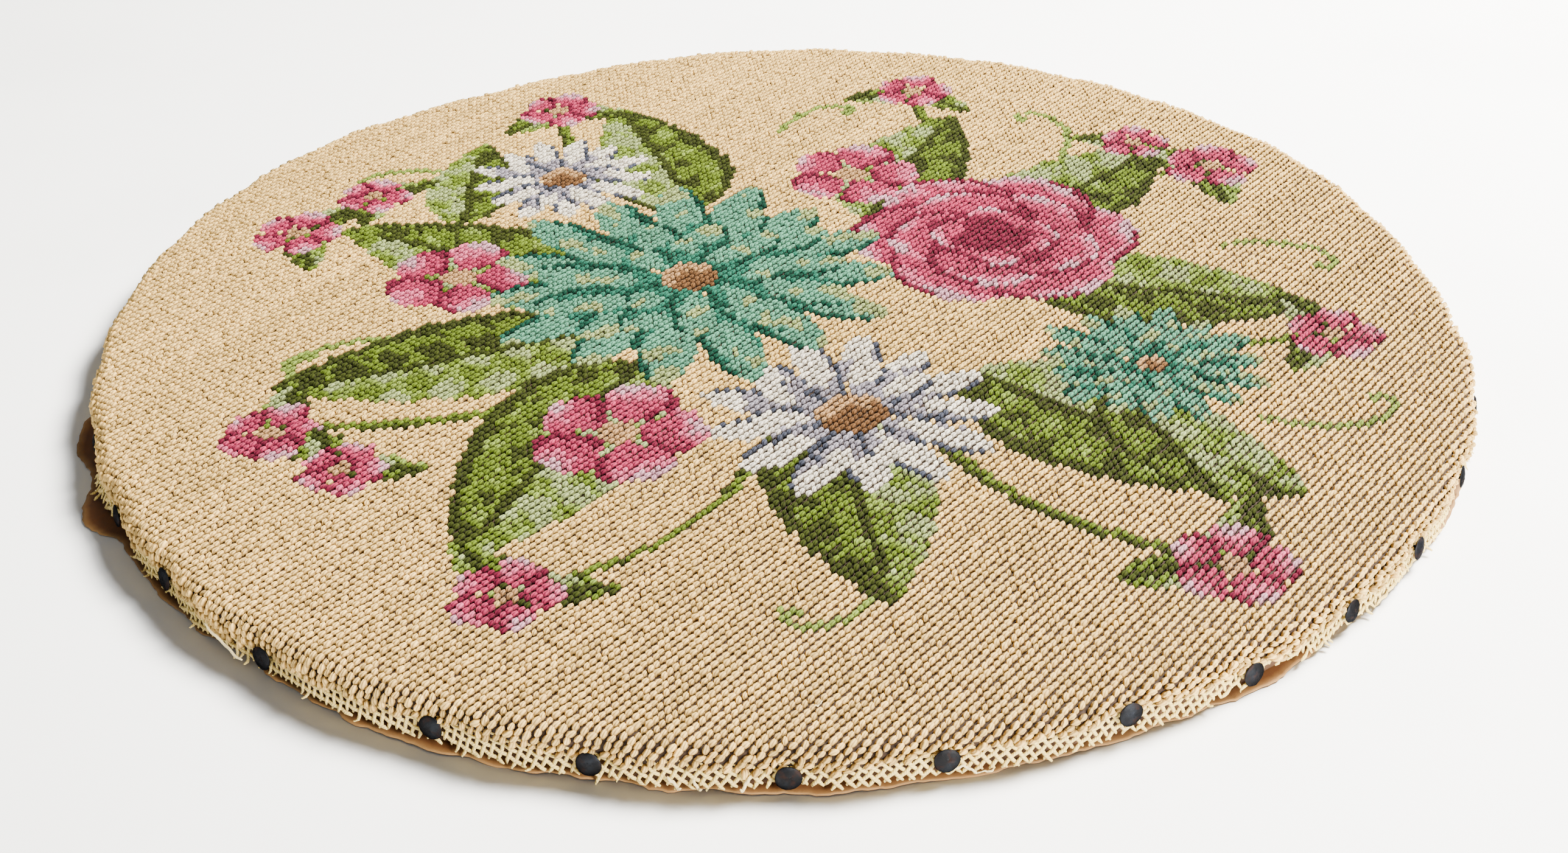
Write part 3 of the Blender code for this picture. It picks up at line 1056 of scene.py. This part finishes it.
# %% A strand laid on the canvas
def strand_points(flat, height, half_width, half_thick, sides):
    """Rings of points round a line on the flat canvas, before they are carried over the panel."""
    ahead = np.gradient(flat, axis=0)
    ahead = ahead / np.hypot(ahead[:, 0], ahead[:, 1])[:, None]
    side = np.stack([-ahead[:, 1], ahead[:, 0]], axis=1)
    ring = np.arange(sides) * math.tau / sides
    across = half_width[:, None] * np.cos(ring)
    spread = flat[:, None, :] + across[:, :, None] * side[:, None, :]
    up = height[:, None] + half_thick[:, None] * np.sin(ring)
    return spread.reshape(-1, 2), up.ravel()


def tube_faces(rings, sides):
    """Triangles of a closed tube, and the (ring, side) that each corner belongs to."""
    ring, side = np.meshgrid(np.arange(rings - 1), np.arange(sides), indexing="ij")
    a = np.stack([ring.ravel(), side.ravel()], axis=1)
    right, ahead = np.array([0, 1]), np.array([1, 0])
    across = a + right + ahead
    walls = [np.stack([a, a + right, across], axis=1), np.stack([a, across, a + ahead], axis=1)]
    fan = np.arange(1, sides - 1)
    last = rings - 1
    start = [[(0, 0), (0, k + 1), (0, k)] for k in fan]
    end = [[(last, 0), (last, k), (last, k + 1)] for k in fan]
    return np.concatenate(walls + [np.array(start), np.array(end)])


def strands_piece(name, strands, sides, material, carry=None):
    """One mesh of many strands. Each strand is (flat line, heights, half width, half thickness)."""
    points, faces, maps, pages = [], [], [], []
    first = 0
    for number, (flat, height, half_width, half_thick) in enumerate(strands):
        spread, up = strand_points(flat, height, half_width, half_thick, sides)
        points.append((carry or on_panel)(spread, up))
        corners = tube_faces(len(flat), sides)
        faces.append(first + corners[..., 0] * sides + corners[..., 1] % sides)
        first += len(flat) * sides
        along, around = corners[..., 0].reshape(-1), corners[..., 1].reshape(-1) / sides
        maps.append(np.stack([along * 0.5, around], axis=1))
        row = (number + 0.05 + 0.9 * around) / len(strands)
        pages.append(np.stack([0.01 + 0.98 * along / len(flat), row], axis=1))
    uv = {"Strand": np.concatenate(maps), "OFBake": np.concatenate(pages)}
    return mesh_piece(name, np.concatenate(points), np.concatenate(faces), material, uv)


print("a thread of 10 rings and 5 sides has", len(tube_faces(10, 5)), "faces")


# %% Cream canvas thread
def canvas_thread_material(name, colour):
    material, tree, shader = new_material(name)
    twist = twisted(tree, 2.0, 3.0)
    fibre = place_group(tree, FIBRE, Place=object_place(tree), Fineness=0.8)
    # The creases between the twisted plies are darkened as painted shade.
    dye(tree, shader, Colour=linear(colour), Dye=fibre["Patch"], Ply=twist, Fibre=fibre["Fibre"])
    settle(shader, Sheen_Weight=0.1)
    bump(tree, twist, shader, 0.6, 0.00015)
    return material


CANVAS_THREAD = canvas_thread_material("bare canvas thread", "ECD07A")
print(CANVAS_THREAD.name)

# %% Threads of the margin
THREAD_HALF_WIDTH = 0.00064
THREAD_HALF_THICK = 0.00038
WEAVE_RISE = 0.00030
UNDER_WORK = 0.0030
THREAD_SIDES = 5
SPLAY = math.radians(62)
SPLAY_FROM = 0.0023
SPLAY_BEND = 0.0008
FREE_SHARE = 0.4
# How far a cut end may hang past the height at which ends splay, and how much further where its thread
# runs outwards.
HANG_LEAST = 0.0004
HANG_MORE = 0.0031


def margin_edges(turn):
    """The reach at which the bare threads start, under the wool, and the reach of the cut edge."""
    inner = reach_at(turn, work_limit(turn)) - UNDER_WORK
    ragged = 0.0003 * np.sin(61 * turn) + 0.0003 * np.sin(113 * turn + 1.0)
    return inner, reach_at(turn, hem_at(turn)) + ragged


def cut_runs(inside):
    """Start and end of each unbroken stretch where inside holds."""
    steps = np.flatnonzero(np.diff(np.concatenate([[0], inside.astype(int), [0]])))
    return steps.reshape(-1, 2)


def margin_strands(ahead, aside, phase):
    """Threads along one direction of the weave. phase says which crossings they pass over."""
    strands = []
    steps = np.arange(-2 * HALF_GRID, 2 * HALF_GRID + 1)
    for number in range(-HALF_GRID, HALF_GRID + 1):
        shift = number * PITCH + rng.normal(0, 0.00006)
        flat = (steps * PITCH / 2)[:, None] * ahead + shift * aside
        wander = 0.00010 * np.sin(steps * 0.31 + number) + rng.normal(0, 0.00004, len(steps))
        flat = flat + wander[:, None] * aside
        away, turn = polar(flat)
        inner, outer = margin_edges(turn)
        free = rng.integers(0, 3, 2) * (rng.random(2) < FREE_SHARE)
        spare = np.where(steps < 0, free[0], free[1]) * PITCH / 2
        radial = (np.abs(flat @ ahead) / np.maximum(away, PITCH)) ** 2
        hung = reach_at(turn, SPLAY_FROM) + HANG_LEAST + HANG_MORE * radial**2
        for a, b in cut_runs((away > inner) & (away < np.minimum(outer + spare * 0.8, hung))):
            if b - a < 3:
                continue
            run = slice(a, b)
            height = WEAVE_RISE * np.cos(math.pi * (steps[run] / 2 + number + phase))
            past = np.clip(away[run] - outer[run] + 0.0012, 0, 0.006)
            height = height + past**1.3 * rng.normal(1.2, 2.6)
            thick = np.ones(b - a)
            thick[[0, -1]] = 0.55
            strands.append((flat[run], height, THREAD_HALF_WIDTH * thick, THREAD_HALF_THICK * thick))
    return strands


def above_floor(flat, height):
    """Carries points over the panel, and splays the ends that hang low outwards over the floor."""
    away, turn = polar(flat)
    limit = reach_at(turn, SPLAY_FROM)
    beyond = np.maximum(0, away - limit)
    share = np.minimum(away, limit) / away
    splay = SPLAY * np.clip(beyond / SPLAY_BEND, 0, 1)
    points = on_panel(flat * share[:, None], height * np.cos(splay))
    outward = beyond * np.sin(splay)
    points[:, 0] += outward * np.cos(turn)
    points[:, 1] += outward * np.sin(turn)
    points[:, 2] += height * np.sin(splay) - beyond * np.cos(splay)
    return points


def margin_piece(name, ahead, aside, phase):
    strands = margin_strands(ahead, aside, phase)
    return strands_piece(name, strands, THREAD_SIDES, CANVAS_THREAD, above_floor)


margin = [
    margin_piece("margin_threads_along", ALONG, ACROSS, 0),
    margin_piece("margin_threads_across", ACROSS, ALONG, 1),
]
print("margin faces:", [len(p.data.polygons) for p in margin])

# %% [markdown]
# ## Loose ends
# A cream thread has come away at the front left and lies across the margin, a few canvas ends hang lower
# than the rest, and a speck of lint lies on the wool. They are laid like the margin's threads: each row
# gives both ends by their angle and by how far past the face they are, so they follow the rim.

# %% Lay the loose ends
LOOSE_ENDS = [
    (-133.70, 10.8, -129.70, 15.6, 0.5, 2.3, 0.46),
    (-92.40, 11.6, -93.05, 17.6, -0.3, 1.5, 0.50),
    (-95.95, 13.2, -95.40, 17.6, 0.4, 1.3, 0.46),
    (-97.60, 12.8, -96.70, 17.6, -0.4, 1.3, 0.46),
    (-78.60, 15.4, -77.20, 15.6, 1.3, 1.4, 0.36),
    (-79.90, 14.6, -78.30, 16.2, -1.2, 1.5, 0.36),
    (-88.35, -11.3, -87.70, -13.4, 0.5, 2.0, 0.20),
]


def loose_strand(first, past, last, end, bow, height, half):
    """One loose thread. Angles are in degrees, and the rest is in millimetres."""
    share = np.linspace(0, 1, 22)
    turn = np.radians(first + (last - first) * share)
    away = rim_at(turn) - SHOULDER + 0.001 * (past + (end - past) * share + bow * np.sin(math.pi * share))
    away = away + 0.00018 * np.sin(19 * share + first)
    taper = 1 - 0.5 * np.abs(2 * share - 1) ** 6
    rise = 0.001 * (height + 0.25 * np.sin(9 * share))
    return on_flat(away, turn), rise, 0.001 * half * taper, 0.0008 * half * taper


LINT = canvas_thread_material("loose cream thread", "FAE4A8")
loose = strands_piece(
    "loose_threads", [loose_strand(*row) for row in LOOSE_ENDS], 7, LINT, above_floor
)
print("loose threads:", len(LOOSE_ENDS), "faces:", len(loose.data.polygons))

# %% [markdown]
# ## Tacks
# The tacks are old upholstery tacks with hand-hammered heads: a low dome with dents, blued nearly black.
# Each head is turned and dented its own way, and sits on the cloth at the place and slant of its solid.

# %% Blued steel
TACK_RADIUS = 0.0037
TACK_SIDES = 18
HEAD_SHARES = [1.0, 1.03, 0.97, 0.78, 0.45, 0.18]
HEAD_HEIGHTS = [0.00002, 0.00016, 0.00034, 0.00062, 0.00086, 0.00092]
SHANK_PROFILE = [(0.0008, -0.0002), (0.00075, -0.0060), (0.00045, -0.0100), (0.00012, -0.0125)]


def steel_material():
    material, tree, shader = new_material("blued steel")
    place = object_place(tree)
    wear = place_group(tree, WEAR, Place=place, Scale=420.0, Amount=0.46)
    sheen = place_group(tree, WEAR, Place=place, Scale=170.0, Amount=0.52)
    base = blend(tree, sheen["Mask"], (0.012, 0.012, 0.013, 1), (0.018, 0.020, 0.024, 1))
    rust = maths(tree, "MULTIPLY", wear["Mask"], 0.55)
    settle(
        shader,
        Base_Color=blend(tree, rust, base, (0.035, 0.016, 0.011, 1)),
        Roughness=maths(tree, "MULTIPLY_ADD", wear["Mask"], 0.20, 0.46),
        Metallic=maths(tree, "MULTIPLY_ADD", wear["Mask"], -0.12, 0.96),
        Specular_Tint=(0.30, 0.30, 0.32, 1),
    )
    bump(tree, maths(tree, "ADD", noise(tree, place, 700, 2.0), wear["Grain"]), shader, 0.5, 0.00018)
    return material


STEEL = steel_material()
print(STEEL.name)


# %% Hammer the tacks
def tack_points(seat, out, turn):
    """Rings from the underside of the head to the crown, then rings down the shank."""
    level = np.array([-math.sin(turn), math.cos(turn), 0])
    rise = np.cross(out, level)
    ring = np.arange(TACK_SIDES) * math.tau / TACK_SIDES + rng.random()
    ragged = 1 + 0.022 * np.sin(3 * ring + rng.random() * 6) + rng.normal(0, 0.010, TACK_SIDES)
    rings = []
    for radius, height in SHANK_PROFILE[::-1]:
        rings.append((np.full(TACK_SIDES, radius), np.full(TACK_SIDES, height)))
    for share, height in zip(HEAD_SHARES, HEAD_HEIGHTS):
        dent = rng.normal(0, 0.00005, TACK_SIDES) * (share < 0.99)
        rings.append((TACK_RADIUS * share * ragged, height + dent))
    spokes = np.cos(ring)[:, None] * level + np.sin(ring)[:, None] * rise
    return np.concatenate([seat + r[:, None] * spokes + h[:, None] * out for r, h in rings]), len(rings)


def hammer_tack(name, seat, out, turn):
    points, rings = tack_points(seat, out, turn)
    corners = tube_faces(rings, TACK_SIDES)
    faces = corners[..., 0] * TACK_SIDES + corners[..., 1] % TACK_SIDES
    piece = mesh_piece(f"{name}_steel", points, faces, STEEL)
    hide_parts(name)
    return piece


tacks = [hammer_tack(name, *seat) for name, seat in zip(TACK_NAMES, TACKS)]
print("tacks:", len(tacks), "faces each:", len(tacks[0].data.polygons))

# %% [markdown]
# ## Backing paper
# Brown paper was pasted under the board. Its edge has torn and crumpled: it stands out a few millimetres
# at the left, and shows as a thin line at the front. It is a thin disc with a slow crumple, whose torn
# edge is ragged and paler, because there the inside of the paper shows.

# %% Brown paper
PAPER_THIN = 0.00025
PAPER_TURNS = 900
PAPER_SHARES = (0.35, 0.65, 0.82, 0.90, 0.94, 0.962, 0.978, 0.989, 0.996, 1.0)


def paper_material():
    material, tree, shader = new_material("brown paper")
    place = object_place(tree)
    crease = place_group(tree, WEAR, Place=place, Scale=38.0, Amount=0.5)
    stain = place_group(tree, WEAR, Place=place, Scale=11.0, Amount=0.5)
    fibre = place_group(tree, FIBRE, Place=place, Fineness=0.35)
    base = blend(tree, stain["Mask"], linear("683D14"), linear("4A2B0D"))
    base = blend(tree, maths(tree, "MULTIPLY", crease["Mask"], 0.45), base, linear("80511F"))
    base = blend(tree, maths(tree, "MULTIPLY", attribute(tree, "torn"), 0.75), base, linear("B0854C"))
    grain = maths(tree, "MULTIPLY_ADD", fibre["Fibre"], 0.3, 0.85)
    rough = maths(tree, "MULTIPLY_ADD", crease["Mask"], 0.15, 0.7)
    settle(shader, Base_Color=shade(tree, grain, base), Roughness=rough)
    bump(tree, maths(tree, "ADD", crease["Grain"], noise(tree, place, 260, 4.0)), shader, 0.5, 0.0003)
    return material


PAPER = paper_material()
paper_solid = node_points("backing_paper")
paper_radius, paper_turn = polar(paper_solid)
outer = paper_radius > WELL_OUT
paper_turns, paper_radii = grouped(paper_turn[outer], paper_radius[outer], np.maximum, 1e-3)
print("paper reaches from", paper_radii.min().round(4), "to", paper_radii.max().round(4))


# %% Tear and crumple the paper
def crumple(x, y):
    """Slow folds, from -1 to 1."""
    a = np.sin(140 * x + 60 * y + 1.3 * np.sin(90 * y))
    b = np.sin(-95 * x + 170 * y + 1.6 * np.sin(120 * x + 0.4))
    return 0.5 * (a + b)


PAPER_TEAR = 0.0011
PAPER_TUCK = 0.0005
PAPER_TUCKS = [(0.0026, -139, -99), (0.0014, -98, -64), (0.0015, -64, -50), (0.0026, -50, 30)]
PAPER_LOWEST = 0.00004
FOLD_INSIDE = 0.0005
FOLD_AT_EDGE = 0.0007


def wide_band(turns, first, last):
    """1 between two angles in degrees, with soft ends."""
    middle, half = math.radians((first + last) / 2), math.radians((last - first) / 2)
    away = np.abs((turns - middle + math.pi) % math.tau - math.pi)
    return np.clip((half - away) / math.radians(3) + 0.5, 0, 1)


def lay_paper():
    turns = np.arange(PAPER_TURNS) * math.tau / PAPER_TURNS
    smooth = np.interp(turns, paper_turns, paper_radii, period=math.tau)
    tears = np.convolve(np.tile(rng.normal(0, PAPER_TEAR, PAPER_TURNS), 3), np.ones(5) / 5, "same")
    tucked = PAPER_TUCK + sum(depth * wide_band(turns, *band) for depth, *band in PAPER_TUCKS)
    reach = smooth + tears[PAPER_TURNS : 2 * PAPER_TURNS] - tucked
    plan = disc_plan([reach * share for share in PAPER_SHARES], turns)
    share = np.concatenate([[0], np.repeat(PAPER_SHARES, PAPER_TURNS)])
    near_edge = np.clip((share - 0.93) / 0.07, 0, 1)
    fold = 0.5 + 0.5 * crumple(plan[:, 0], plan[:, 1])
    base = PAPER_LOWEST + fold * (FOLD_INSIDE * (1 - near_edge) + FOLD_AT_EDGE * near_edge)
    points = np.concatenate([np.column_stack([plan, base + lift]) for lift in (PAPER_THIN, 0)])
    faces = disc_faces(PAPER_TURNS, len(PAPER_SHARES))
    torn = np.tile(np.clip((share - 0.991) / 0.009, 0, 1), 2)
    return mesh_piece("paper_backing", points, faces, PAPER, None, {"torn": torn})


paper = lay_paper()
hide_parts("backing_paper")
print("paper faces:", len(paper.data.polygons))

# %% [markdown]
# ## Board
# The board keeps its own solid and only takes a finish: plain unfinished wood, whose grain runs one way.


# %% Wood
def wood_material():
    material, tree, shader = new_material("board wood")
    place = object_place(tree)
    stretch = settle(tree.nodes.new("ShaderNodeMapping"), Vector=place, Scale=(3.0, 60.0, 60.0))
    rings = noise(tree, stretch.outputs[0], 6.0, 6.0, 0.6)
    wear = place_group(tree, WEAR, Place=place, Scale=20.0, Amount=0.5)
    base = blend(tree, rings, linear("3A2310"), linear("634326"))
    base = blend(tree, maths(tree, "MULTIPLY", wear["Mask"], 0.3), base, linear("2C1A0C"))
    settle(shader, Base_Color=base, Roughness=maths(tree, "MULTIPLY_ADD", rings, 0.2, 0.6))
    bump(tree, maths(tree, "ADD", rings, wear["Grain"]), shader, 0.4, 0.0003)
    return material


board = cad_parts["board"]
WOOD = wood_material()
for slot in board.material_slots:
    slot.material = WOOD
print("board finishes:", [s.material.name for s in board.material_slots])

# %% Hide the plain cloth
worked = stitches + margin + [loose]
for piece in [canvas] + worked:
    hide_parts("needlepoint")
